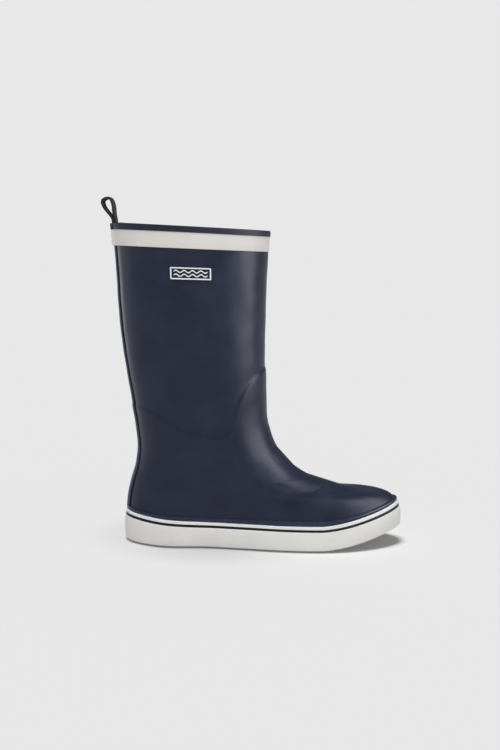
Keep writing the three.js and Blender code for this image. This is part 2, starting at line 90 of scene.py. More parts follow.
def smooth(low: float, high: float, value: Array) -> Array:
    """Smooth step from 0 at low to 1 at high."""
    share = np.clip((value - low) / (high - low), 0, 1)
    return share * share * (3 - 2 * share)


def curve(at: Sequence[float], values: Sequence[float], t: Array) -> Array:
    """Smooth curve through the points, read at t.

    Args:
        at: rising positions of the points.
        values: the value at each position.
        t: where to read it; outside the points it keeps the end values.

    Returns:
        The values at t.
    """
    x = np.asarray(at, float)
    y = np.asarray(values, float)
    t = np.asarray(t, float)
    before = np.maximum(np.arange(len(x)) - 1, 0)
    after = np.minimum(np.arange(len(x)) + 1, len(x) - 1)
    slope = (y[after] - y[before]) / (x[after] - x[before])
    i = np.clip(np.searchsorted(x, t, side="left") - 1, 0, len(x) - 2)
    h = x[i + 1] - x[i]
    u = np.clip((t - x[i]) / h, 0, 1)
    return (
        (1 + 2 * u) * (1 - u) ** 2 * y[i]
        + u * (1 - u) ** 2 * h * slope[i]
        + u * u * (3 - 2 * u) * y[i + 1]
        + u * u * (u - 1) * h * slope[i + 1]
    )


# ---- The last: the surface that every layer of the boot follows, in mm ----


@dataclass
class BootSurface:
    """The outer face of the rubber upper, as a drop below the rim at the back and an angle around the boot.

    The angle is 0 at the back and pi at the front, and runs along the inner side of the foot first.
    """

    sole_length: float = 285
    leg_height: float = 324.7
    rim_drop: float = 8.1
    foxing_height: float = 27.3
    heel_rise: float = 5.8
    heel_rise_length: float = 85
    toe_spring: float = 18.6
    toe_spring_length: float = 82
    line_spring: float = 17.6
    toe_inward: float = 4
    wall_drop: float = 292.2
    crown: float = 1.7  # the middle of the foot is this much higher, between these drops
    crown_starts: tuple = (222, 262)
    crown_ends: tuple = (274, 290)
    crown_share: float = 0.84
    toes: tuple = (0.35, 0.85)
    leg_radius: float = 52
    # height and x at the back, depth, fall to the front, half width, share of the sole's outline,
    # narrower over the toes
    stations: tuple = (
        (324.7, -148.3, 155, 8.1, 52, 0, 0),
        (290, -145.4, 151.2, 5.67, 51.5, 0, 0),
        (245, -142.8, 146.9, 2, 50.5, 0, 0),
        (200, -138.9, 142, 1, 49, 0, 0),
        (150, -131.1, 134.9, -2, 45, 0, 0),
        (120, -126.5, 133.6, 0.4, 41.5, 0.08, 0.02),
        (98, -124.9, 145.2, 7.9, 39.5, 0.28, 0.07),
        (80, -127.1, 175.5, 12.9, 39, 0.45, 0.15),
        (64, -132.1, 220.1, 9.1, 40.5, 0.66, 0.2),
        (48, -135.7, 257.9, -3.8, 43.5, 0.9, 0.15),
    )
    # level above the white stripe's top, x at the back and at the front
    wall: tuple = ((4, -137, 135.1), (-10, -138, 138.2), (-26, -137.6, 138.2))
    outline_at: tuple = (0, 0.137, 0.29, 0.45, 0.6, 0.81, 1)
    outline_outer: tuple = (49, 47, 36.3, 38.9, 45.4, 52.8, 50)
    outline_inner: tuple = (49, 46.5, 33, 33.5, 42.5, 52.5, 50)
    # the ridge of the reinforcement: height at each share of the way from back to front
    ridge_at: tuple = (0, 0.12, 0.22, 0.3, 0.4, 0.54, 0.65, 0.72, 0.77, 0.84, 0.92, 1)
    ridge_height: tuple = (142, 139, 133, 125.5, 118.5, 116, 116, 120, 134, 154, 168.5, 179)

    def __post_init__(self) -> None:
        """Makes the table of loops from the stations and the wall."""
        rows = [
            (self.leg_height - z, x, z, depth, fall, width, share, narrow, 0)
            for z, x, depth, fall, width, share, narrow in self.stations
        ]
        rows += [
            (self.at_level(level), back, 32.5 + level, front - back, -9.5, 46, 1, 0, 1)
            for level, back, front in self.wall
        ]
        self.table = np.array(rows, float).T

    def at_level(self, level: float) -> float:
        """Drop of a height above the top edge of the white stripe."""
        return self.wall_drop - level

    def toe_share(self, x: Array) -> Array:
        """How far the toe spring has risen at x, 0 to 1."""
        start = self.sole_length / 2 - self.toe_spring_length
        return np.maximum(0, (x - start) / self.toe_spring_length) ** 1.5

    def tread_height(self, x: Array) -> Array:
        """Height of the tread's underside at x."""
        return self.toe_spring * self.toe_share(x)

    def stripe_height(self, x: Array) -> Array:
        """Height of the white stripe's top edge at x."""
        reach = -self.sole_length / 2 + self.heel_rise_length - x
        heel = np.maximum(0, reach / self.heel_rise_length) ** 1.5
        return self.foxing_height + self.heel_rise * heel + self.line_spring * self.toe_share(x)

    def base(self, drop: Array, angle: Array) -> Array:
        """Points of the surface itself.

        Args:
            drop: drops below the rim.
            angle: angles around the boot.

        Returns:
            An array of points, in mm, with x, y and z last.
        """
        drops = self.table[0]
        back, height, depth, fall, width, share, narrow, wall = (
            curve(drops, column, drop) for column in self.table[1:]
        )
        c = (1 - np.cos(angle)) / 2
        x = back + c * depth
        outline = np.where(
            np.sin(angle) > 0,
            curve(self.outline_at, self.outline_inner, c),
            curve(self.outline_at, self.outline_outer, c),
        )
        half = (width * (1 - share) + outline * share) * (1 - narrow * smooth(*self.toes, c))
        crown = self.crown * smooth(*self.crown_starts, drop) * (1 - smooth(*self.crown_ends, drop))
        flat = height - c * fall + crown * smooth(self.crown_share, 1, c)
        z = flat * (1 - wall) + (self.stripe_height(x) + self.wall_drop - drop) * wall
        return np.stack((x, np.sin(angle) * half + self.toe_inward * share * c**3, z), -1)

    def layer(self, drop: Array, angle: Array, out: Array) -> Array:
        """Points moved out along the surface's normal.

        Args:
            drop: drops below the rim.
            angle: angles around the boot.
            out: distance from the surface, outwards.

        Returns:
            An array of points, in metres.
        """
        drop, angle, out = np.broadcast_arrays(
            np.asarray(drop, float), np.asarray(angle, float), np.asarray(out, float)
        )
        around = self.base(drop, angle + 1e-3) - self.base(drop, angle - 1e-3)
        down = self.base(drop + 1, angle) - self.base(drop - 1, angle)
        normal = np.cross(around, down)
        normal /= np.linalg.norm(normal, axis=-1, keepdims=True)
        return (self.base(drop, angle) + normal * out[..., None]) * MM

    def drop_above(self, height: float, angle: Array) -> Array:
        """Drop at which a height above the tread lies, on the wall."""
        x = self.base(np.full_like(angle, self.at_level(-12)), angle)[..., 0]
        return self.at_level(self.tread_height(x) + height - self.stripe_height(x))

    def ridge_drop(self, angle: Array) -> Array:
        """Drop of the reinforcement's top edge."""
        share = (1 - np.cos(angle)) / 2
        return self.leg_height - curve(self.ridge_at, self.ridge_height, share)

    def aside(self, angle: Array) -> Array:
        """Distance round the leg from the middle of its back, in mm."""
        return np.minimum(angle, 2 * math.pi - angle) * self.leg_radius

    def leg_angle(self, along: Array) -> Array:
        """Angle on the outer side at a share of the way from back to front."""
        return 2 * math.pi - np.arccos(np.clip(1 - 2 * along, -1, 1))


SURFACE = BootSurface()

# ---- Shaders ----


class Signal:
    """A shader socket that takes part in arithmetic; every operation adds a Math node."""

    def __init__(self, book: "NodeBook", socket: bpy.types.NodeSocket) -> None:
        """Keeps the socket and the material it belongs to."""
        self.book = book
        self.socket = socket

    def _math(self, operation: str, *values: "Signal | float") -> "Signal":
        """Adds one Math node."""
        inputs = {i: value for i, value in enumerate(values)}
        return self.book.add("ShaderNodeMath", {"operation": operation}, inputs)

    def __add__(self, other: "Signal | float") -> "Signal":
        """self + other."""
        return self._math("ADD", self, other)

    def __mul__(self, other: "Signal | float") -> "Signal":
        """self * other."""
        return self._math("MULTIPLY", self, other)

    def sine(self) -> "Signal":
        """Sine of the value."""
        return self._math("SINE", self)

    def size(self) -> "Signal":
        """The value without its sign."""
        return self._math("ABSOLUTE", self)

    def ramp(self, low: float, high: float, start: float = 0.0, end: float = 1.0) -> "Signal":
        """Smooth change from start to end as the value goes from low to high."""
        return self.book.add(
            "ShaderNodeMapRange",
            {"interpolation_type": "SMOOTHSTEP"},
            {0: self, 1: low, 2: high, 3: start, 4: end},
        )


class NodeBook:
    """One material and its nodes."""

    def __init__(self, name: str) -> None:
        """Makes an empty material with a Principled shader."""
        self.material = bpy.data.materials.new(name)
        self.material.use_nodes = True
        self.tree = self.material.node_tree
        self.tree.nodes.clear()
        output = self.tree.nodes.new("ShaderNodeOutputMaterial")
        self.shader = self.tree.nodes.new("ShaderNodeBsdfPrincipled")
        self.tree.links.new(self.shader.outputs[0], output.inputs[0])

    def put(self, socket: bpy.types.NodeSocket, value: object) -> None:
        """Links or sets one input socket."""
        if isinstance(value, Signal):
            self.tree.links.new(value.socket, socket)
        elif isinstance(value, tuple) and len(value) == 3 and socket.type == "RGBA":
            socket.default_value = (*value, 1)
        else:
            socket.default_value = value

    def add(self, kind: str, settings: dict, inputs: dict, output: int | str = 0) -> Signal:
        """Adds a node.

        Args:
            kind: the node's type.
            settings: properties, set first.
            inputs: values or signals by socket name or number.
            output: which output to return.

        Returns:
            The chosen output.
        """
        node = self.tree.nodes.new(kind)
        for key, value in settings.items():
            setattr(node, key, value)
        for key, value in inputs.items():
            self.put(node.inputs[key], value)
        return Signal(self, node.outputs[output])

    def place(self) -> Signal:
        """Object coordinates."""
        return self.add("ShaderNodeTexCoord", {}, {}, "Object")

    def weave_place(self, axis: int) -> Signal:
        """One axis of the piece's own UV map, in mm."""
        uv = self.add("ShaderNodeUVMap", {"uv_map": "UVMap"}, {})
        return self.add("ShaderNodeSeparateXYZ", {}, {0: uv}, axis)

    def noise(self, scale: float, detail: float = 3, rough: float = 0.5) -> Signal:
        """Noise in object space, about 0 to 1."""
        inputs = {"Vector": self.place(), "Scale": scale, "Detail": detail, "Roughness": rough}
        return self.add("ShaderNodeTexNoise", {}, inputs, 0)

    def blend_colour(self, factor: Signal, low: "Colour | Signal", high: "Colour | Signal") -> Signal:
        """Colour that goes from low to high with factor."""
        node = self.tree.nodes.new("ShaderNodeMix")
        node.data_type = "RGBA"
        self.put(node.inputs[0], factor)
        self.put(node.inputs[6], low)
        self.put(node.inputs[7], high)
        return Signal(self, node.outputs[2])

    def set(self, **inputs: object) -> None:
        """Sets the shader's inputs by name, with _ for a space."""
        for key, value in inputs.items():
            self.put(self.shader.inputs[key.replace("_", " ")], value)

    def bump(self, height: Signal, distance: float, strength: float = 1.0) -> None:
        """Gives the surface small relief."""
        inputs = {"Height": height, "Distance": distance, "Strength": strength}
        self.set(Normal=self.add("ShaderNodeBump", {}, inputs))


@dataclass(frozen=True)
class Rubber:
    """Moulded or calendered rubber with a satin skin."""

    name: str
    colour: Colour
    roughness: float = 0.42
    mottle: float = 0.1
    grain: float = 0.00006
    specular: float = 0.5

    def build(self) -> bpy.types.Material:
        """Makes the material."""
        book = NodeBook(self.name)
        cloud = book.noise(28, 3, 0.55)
        fine = book.noise(900, 2, 0.6)
        light = tuple(min(1.0, c * (1 + self.mottle) + 0.002) for c in self.colour)
        dark = tuple(c * (1 - self.mottle) for c in self.colour)
        book.set(
            Base_Color=book.blend_colour(cloud.ramp(0.3, 0.7), dark, light),
            Roughness=cloud.ramp(0.3, 0.7, self.roughness - 0.03, self.roughness + 0.05),
            Specular_IOR_Level=self.specular,
        )
        book.bump(fine + cloud * 0.6, self.grain, 0.6)
        return book.material


@dataclass(frozen=True)
class Webbing:
    """Narrow woven tape, plain weave, following the piece's UV in mm."""

    name: str
    colour: Colour
    lit: Colour
    pitch: float = 0.7

    def build(self) -> bpy.types.Material:
        """Makes the material."""
        book = NodeBook(self.name)
        along = book.weave_place(0) * (2 * math.pi / self.pitch)
        across = book.weave_place(1) * (2 * math.pi / self.pitch)
        rib = along.sine() * across.sine()
        book.set(
            Base_Color=book.blend_colour(rib.ramp(-1, 1), self.colour, self.lit),
            Roughness=0.78,
            Specular_IOR_Level=0.35,
            Sheen_Weight=0.08,
            Sheen_Roughness=0.5,
        )
        book.bump(rib * 0.5 + 0.5, 0.00035)
        return book.material


@dataclass(frozen=True)
class Knit:
    """Knitted textile, in fine ribs that follow the piece's UV in mm."""

    name: str
    colour: Colour
    lit: Colour
    rib: float = 1.6
    stitch: float = 1.3

    def build(self) -> bpy.types.Material:
        """Makes the material."""
        book = NodeBook(self.name)
        across = book.weave_place(0) * (2 * math.pi / self.rib)
        down = book.weave_place(1) * (2 * math.pi / self.stitch)
        column = across.sine().size()
        loop = (column * 2 + down).sine()
        height = column * 0.6 + loop * 0.25 + 0.2
        book.set(
            Base_Color=book.blend_colour(height.ramp(0, 1), self.colour, self.lit),
            Roughness=0.9,
            Specular_IOR_Level=0.2,
            Sheen_Weight=0.3,
            Sheen_Roughness=0.6,
        )
        book.bump(height, 0.0004)
        return book.material


@dataclass(frozen=True)
class Plain:
    """A plain finish with slight cloudiness."""

    name: str
    colour: Colour
    roughness: float = 0.8
    metallic: float = 0.0

    def build(self) -> bpy.types.Material:
        """Makes the material."""
        book = NodeBook(self.name)
        cloud = book.noise(60, 4, 0.6)
        dark = tuple(c * 0.85 for c in self.colour)
        book.set(
            Base_Color=book.blend_colour(cloud.ramp(0.3, 0.7), dark, self.colour),
            Roughness=self.roughness,
            Metallic=self.metallic,
        )
        return book.material


@dataclass
class Finishes:
    """Every finish of the boot, made once."""

    made: dict[str, bpy.types.Material] = field(default_factory=dict)

    def get(self, finish: "Rubber | Webbing | Knit | Plain") -> bpy.types.Material:
        """The material of a finish."""
        if finish.name not in self.made:
            self.made[finish.name] = finish.build()
        return self.made[finish.name]


NAVY = Rubber("navy_rubber", srgb(31, 37, 55), 0.36, 0.12, 0.00005, 0.2)
BEAD_NAVY = Rubber("bead_rubber", srgb(33, 41, 63), 0.34, 0.08, 0.00006, 0.35)
# The strip's navy is painted lighter than the skin's navy: a painted highlight for the light that the strip
# catches along the back edge.
PAINTED_LIT_STRIP_NAVY = Rubber("strip_rubber_painted_highlight", srgb(52, 58, 80), 0.36, 0.1, 0.00005, 0.3)
BINDING_NAVY = Rubber("collar_binding", srgb(36, 39, 54), 0.5, 0.06, 0.00006, 0.2)
CREAM = Rubber("collar_band", srgb(208, 204, 200), 0.55, 0.03, 0.00006, 0.25)
WHITE_STRIPE = Rubber("stripe_rubber", srgb(222, 224, 221), 0.5, 0.02, 0.00006, 0.3)
DARK_STRIPE = Rubber("dark_rubber", srgb(20, 21, 33), 0.5, 0.05, 0.00006, 0.2)
SIDEWALL = Rubber("white_rubber", srgb(218, 217, 214), 0.6, 0.03, 0.00008, 0.3)
TREAD = Rubber("tread_rubber", srgb(188, 185, 178), 0.65, 0.05, 0.0001)
PRINT = Rubber("badge_print", srgb(222, 223, 227), 0.55, 0.02)
BADGE_NAVY = Rubber("badge_rubber", srgb(29, 34, 50), 0.5, 0.05, 0.00006, 0.2)
BLACK_WEBBING = Webbing("webbing", srgb(15, 12, 14), srgb(34, 32, 36))
THREAD = Plain("thread", srgb(190, 186, 178), 0.8)
LINING_KNIT = Knit("lining", srgb(38, 43, 56), srgb(74, 80, 96))
COVER_KNIT = Knit("footbed_cover", srgb(52, 57, 70), srgb(96, 101, 115), 2.2, 1.8)
FOAM = Plain("footbed_foam", srgb(112, 118, 130), 0.9)
BOARD = Plain("insole_board", srgb(160, 138, 104), 0.9)
FILLER = Plain("filler_board", srgb(138, 133, 120), 0.9)
STEEL = Plain("shank_steel", srgb(170, 172, 176), 0.35, 1.0)
CANVAS = Plain("reinforcement", srgb(51, 56, 74), 0.85)
STIFFENER = Plain("stiffener", srgb(74, 68, 56), 0.8)

# ---- Mesh helpers ----


def rounded(points: Sequence[tuple[float, float]], radii: Sequence[float], steps: int = 4) -> Array:
    """A closed outline with round corners.

    Args:
        points: the corners in order.
        radii: the radius at each corner.
        steps: parts of each round corner.

    Returns:
        The outline's points, two numbers each.
    """
    corners = [np.array(p, float) for p in points]
    made = []
    for i, (corner, radius) in enumerate(zip(corners, radii)):
        to_last = corners[i - 1] - corner
        to_next = corners[(i + 1) % len(corners)] - corner
        reach = min(radius, 0.48 * np.linalg.norm(to_last), 0.48 * np.linalg.norm(to_next))
        if reach < 1e-6:
            made.append(corner)
            continue
        start = corner + to_last / np.linalg.norm(to_last) * reach
        end = corner + to_next / np.linalg.norm(to_next) * reach
        for k in range(steps + 1):
            t = k / steps
            made.append((1 - t) ** 2 * start + 2 * t * (1 - t) * corner + t * t * end)
    return np.array(made)


def grid(columns: int, rows: int) -> tuple[bmesh.types.BMesh, Array, Array]:
    """A flat grid with a UV map.

    Args:
        columns: cells along the first direction.
        rows: cells along the second.

    Returns:
        The bmesh and, for each vertex, its column and row numbers.
    """
    bm = bmesh.new()
    bm.loops.layers.uv.new("UVMap")
    bmesh.ops.create_grid(bm, x_segments=columns, y_segments=rows, size=0.5, calc_uvs=True)
    place = np.array([v.co[:2] for v in bm.verts])
    return bm, np.rint((place[:, 0] + 0.5) * columns), np.rint((place[:, 1] + 0.5) * rows)


def set_places(bm: bmesh.types.BMesh, places: Array) -> None:
    """Moves every vertex to its place, in metres."""
    for vertex, place in zip(bm.verts, places):
        vertex.co = place


def stretch_uv(bm: bmesh.types.BMesh, along: float, across: float) -> None:
    """Scales the grid's UV from shares to mm."""
    layer = bm.loops.layers.uv.active
    for face in bm.faces:
        for loop in face.loops:
            loop[layer].uv = (loop[layer].uv[0] * along, loop[layer].uv[1] * across)


def finish_mesh(bm: bmesh.types.BMesh, name: str, material: bpy.types.Material) -> bpy.types.Object:
    """Closes a bmesh's seams and makes it an object at the origin.

    Args:
        bm: the mesh, used up by this.
        name: the piece's name.
        material: its finish.

    Returns:
        The new object.
    """
    bmesh.ops.remove_doubles(bm, verts=bm.verts, dist=WELD)
    bmesh.ops.dissolve_degenerate(bm, edges=bm.edges, dist=1e-7)
    bmesh.ops.recalc_face_normals(bm, faces=bm.faces)
    for face in bm.faces:
        face.smooth = True
    mesh = bpy.data.meshes.new(name)
    bm.to_mesh(mesh)
    bm.free()
    mesh.materials.append(material)
    made = bpy.data.objects.new(name, mesh)
    bpy.context.scene.collection.objects.link(made)
    return made


def register(piece: bpy.types.Object, body: Body, slot: str, *nodes: str) -> bpy.types.Object:
    """Puts a piece on its body and in place of its CAD nodes, and reports it."""
    if nodes:
        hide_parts(*nodes)
    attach(piece, body.value)
    LOG.info("%s rides on %s, %d faces", piece.name, body.value, len(piece.data.polygons))
    return piece


def ring(
    name: str, material: bpy.types.Material, count: int, outline: Outline, segments: int = 256,
    uv: tuple[float, float] = (1, 1),
) -> bpy.types.Object:
    """A closed band right round the boot.

    Args:
        name: the piece's name.
        material: its finish.
        count: points in its outline.
        outline: drops and distances outwards, from point numbers and angles.
        segments: facets around the boot.
        uv: length around and along the outline, in mm.

    Returns:
        The new object.
    """
    bm, column, row = grid(segments, count)
    stretch_uv(bm, *uv)
    angle = (column % segments) * 2 * math.pi / segments
    drop, out = outline((row % count).astype(int), angle)
    set_places(bm, SURFACE.layer(drop, angle, out))
    return finish_mesh(bm, name, material)


def lay_on_leg(bm: bmesh.types.BMesh, drop: float, along: float, out: float) -> None:
    """Lays a flat mesh, in mm, on the outer side of the leg.

    Args:
        bm: the mesh; x runs towards the toe, y up and z out.
        drop: where its middle lies, below the rim.
        along: where its middle lies, from back to front, 0 to 1.
        out: distance outwards of its underside.
    """
    flat = np.array([v.co[:] for v in bm.verts])
    at = drop - flat[:, 1]
    depth = curve(SURFACE.table[0], SURFACE.table[3], at)
    angle = SURFACE.leg_angle(along + flat[:, 0] / depth)
    set_places(bm, SURFACE.layer(at, angle, out + flat[:, 2]))


def cap_ends(bm: bmesh.types.BMesh) -> None:
    """Closes the open ends of a swept piece."""
    bmesh.ops.remove_doubles(bm, verts=bm.verts, dist=WELD)
    bmesh.ops.holes_fill(bm, edges=[e for e in bm.edges if e.is_boundary], sides=0)


def thicken(bm: bmesh.types.BMesh, move: tuple[float, float, float]) -> None:
    """Turns an open sheet into a closed plate by a copy moved off it."""
    bmesh.ops.remove_doubles(bm, verts=bm.verts, dist=1e-7)
    made = bmesh.ops.extrude_face_region(bm, geom=bm.faces[:], use_keep_orig=True)
    lifted = [v for v in made["geom"] if isinstance(v, bmesh.types.BMVert)]
    bmesh.ops.translate(bm, verts=lifted, vec=move)


# ---- Sub-assemblies ----


@dataclass
class Upper:
    """The rubber skin, its backstay and the textile lining."""

    finishes: Finishes
    skin: float = 1.8
    top: float = 1.6
    foot: float = 6.3
    rows: int = 230
    segments: int = 288
    ridge_proud: float = 1.05
    ridge_width: float = 2.4
    wander: float = 0.28
    lining: float = 0.9
    lining_leg: float = 2.1
    lining_foot: float = 5.1
    tail_bulge: float = 3.0
    strip_width: float = 17
    strip_proud: float = 2.9
    strip_top: float = 14
    strip_rows: int = 160

    def relief(self, drop: Array, angle: Array) -> Array:
        """How far the skin stands off its plain surface: the reinforcement's edge and slight unevenness."""
        share = (1 - np.cos(angle)) / 2
        step = 0.004
        rise = curve(SURFACE.ridge_at, SURFACE.ridge_height, share + step)
        rise = rise - curve(SURFACE.ridge_at, SURFACE.ridge_height, share - step)
        width = self.ridge_width * np.minimum(3, np.hypot(1, rise / (2 * step * 140)))
        below = drop - SURFACE.ridge_drop(angle)
        over = smooth(-1, 1, below / width) * (1 - 0.75 * smooth(8, 70, below))
        proud = self.ridge_proud * (0.85 + 0.15 * smooth(0.05, 0.3, share))
        x, y, z = np.moveaxis(SURFACE.base(drop, angle), -1, 0)
        uneven = np.sin(x / 13 + y / 17 + z / 29 + 1.3) * np.sin(z / 19 - x / 31 + 0.4)
        uneven += 0.6 * np.sin(x / 7.3 - z / 11 + y / 9) * np.sin(z / 8.1 + y / 13 + 2.0)
        calm = smooth(18, 60, drop) * (1 - smooth(272, 286, drop))
        return (proud * over) * (1 - smooth(284, 292, drop) * 0.4) + self.wander * uneven * calm

    def build_skin(self) -> bpy.types.Object:
        """Makes the skin, outside and inside."""
        inside = 14

        def outline(row: Array, angle: Array) -> tuple[Array, Array]:
            """The skin's section."""
            outer = row < self.rows
            share = np.where(outer, row / (self.rows - 1), 1 - (row - self.rows) / (inside - 1))
            drop = self.top + (SURFACE.drop_above(self.foot, angle) - self.top) * share
            return drop, np.where(outer, self.relief(drop, angle), -self.skin)

        material = self.finishes.get(NAVY)
        made = ring("rubber_upper", material, self.rows + inside, outline, self.segments)
        return register(made, Body.BOOT, "navy_rubber", "upper_skin")

    def build_backstay(self) -> bpy.types.Object:
        """Makes the moulded strip up the back, with a lip that overhangs the skin along both edges."""
        half, top = self.strip_width / 2, self.strip_proud
        edge = [(0.8, -0.4), (0.8, 0.4), (0.15, 0.6), (0, 0.9), (0.2, 1.3), (0.7, 1.75), (1.6, 2.2)]
        edge += [(2.9, 2.5), (4.5, top - 0.2), (6.5, top - 0.05)]
        side = [(half - inset, out) for inset, out in edge]
        shape = np.array(side + [(0, top)] + [(-y, out) for y, out in reversed(side)])
        bm, column, row = grid(len(shape), self.strip_rows)
        column = (column % len(shape)).astype(int)
        drop = self.strip_top + (SURFACE.at_level(1.5) - self.strip_top) * row / self.strip_rows
        ahead, behind = (SURFACE.base(drop, np.full_like(drop, turn)) for turn in (1e-3, -1e-3))
        reach = np.linalg.norm(ahead - behind, axis=-1) / 2e-3
        out = shape[column, 1] + self.relief(drop, 0 * drop)
        set_places(bm, SURFACE.layer(drop, shape[column, 0] / reach, out))
        cap_ends(bm)
        # Its lighter navy is painted highlight, the strip's edge shown lit by colour rather than by a lamp.
        made = finish_mesh(bm, "backstay_strip", self.finishes.get(PAINTED_LIT_STRIP_NAVY))
        return register(made, Body.BOOT, "navy_rubber", "backstay_bead")

    def tail(self, drop: Array, angle: Array) -> Array:
        """How far the lining and the binding give way to the webbing's sewn ends."""
        return self.tail_bulge * (1 - smooth(6, 15, SURFACE.aside(angle))) * (1 - smooth(16, 34, drop))

    def build_lining(self) -> bpy.types.Object:
        """Makes the knitted sock."""
        rows, inside = 16, 150

        def outline(row: Array, angle: Array) -> tuple[Array, Array]:
            """The lining's section."""
            outer = row < rows
            share = np.where(outer, row / (rows - 1), 1 - (row - rows) / (inside - 1))
            drop = self.top + (SURFACE.drop_above(self.foot, angle) - self.top) * share
            deep = self.lining_leg + (self.lining_foot - self.lining_leg) * smooth(103, 134, drop)
            deep = deep + self.tail(drop, angle)
            return drop, -deep - np.where(outer, 0, self.lining)

        material = self.finishes.get(LINING_KNIT)
        made = ring("lining_sock", material, rows + inside, outline, 192, (340, 350))
        return register(made, Body.BOOT, "lining", "lining")

    def build(self) -> None:
        """Makes every piece of the upper and dresses the hidden layers."""
        self.build_skin()
        self.build_backstay()
        self.build_lining()
        hidden = {"foot_reinforcement": CANVAS, "toe_puff": STIFFENER, "heel_counter": STIFFENER}
        for node, finish in hidden.items():
            dress(node, self.finishes.get(finish))


def dress(node: str, material: bpy.types.Material) -> None:
    """Gives a CAD node's object a material."""
    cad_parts[node].data.materials.clear()
    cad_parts[node].data.materials.append(material)


@dataclass
class Foxing:
    """The rubber bands cemented round the sole."""

    finishes: Finishes
    bury: float = 0.6
    stripe: float = 3.0
    pinstripe: float = 3.0
    bead: float = 4.0
    ground_gap: float = 1.2

    def band(
        self, name: str, finish: Rubber, slot: str, node: str, top: float, bottom: float | None,
        corners: Sequence[tuple[float, float]], radii: Sequence[float],
    ) -> bpy.types.Object:
        """One band.

        Args:
            name: the piece's name.
            finish: its rubber.
            slot: not used.
            node: the CAD node that it stands for.
            top: level of its upper edge above the white stripe's top.
            bottom: level of its lower edge, or None down to the ground gap.
            corners: its section, as shares of the way down and mm outwards.
            radii: the radius at each corner, in the same mixed measure.

        Returns:
            The new object.
        """
        shape = rounded(corners, radii, 5)

        def outline(row: Array, angle: Array) -> tuple[Array, Array]:
            """The band's section."""
            high = SURFACE.at_level(top)
            low = SURFACE.drop_above(self.ground_gap, angle) if bottom is None else SURFACE.at_level(bottom)
            return high + (low - high) * shape[row, 0], shape[row, 1]

        made = ring(name, self.finishes.get(finish), len(shape), outline)
        return register(made, Body.BOOT, slot, node)

    def build(self) -> None:
        """Makes the four bands."""
        inner = -self.bury
        foot = -self.stripe - self.pinstripe
        self.band(
            "foxing_bead_band", BEAD_NAVY, "bead_rubber", "foxing_bead", self.bead, 0,
            [
                (0.04, inner), (0.04, 0.2), (0.12, 1.5), (0.32, 2.45), (0.52, 2.7), (0.72, 2.4), (0.9, 1.5),
                (0.98, 0.4), (0.98, inner),
            ],
            [0, 0.1, 0.15, 0.2, 0.2, 0.2, 0.15, 0.1, 0],
        )
        self.band(
            "foxing_white_band", WHITE_STRIPE, "stripe_rubber", "foxing_white_stripe", 0.05, -self.stripe,
            [(0, inner), (0, 3.0), (1, 3.25), (1, inner)], [0, 0.3, 0.2, 0],
        )
        self.band(
            "foxing_dark_band", DARK_STRIPE, "dark_rubber", "foxing_pinstripe", -self.stripe + 0.02, foot,
            [(0, inner), (0, 3.0), (1, 3.1), (1, inner)], [0, 0.2, 0.2, 0],
        )
        self.band(
            "foxing_sidewall_band", SIDEWALL, "white_rubber", "sidewall_foxing", foot, None,
            [(0, inner), (0, 3.6), (0.3, 4.2), (0.7, 4.5), (0.93, 4.1), (1, 1.6), (1, inner)],
            [0, 0.35, 0.2, 0.2, 0.1, 0.3, 0],
        )


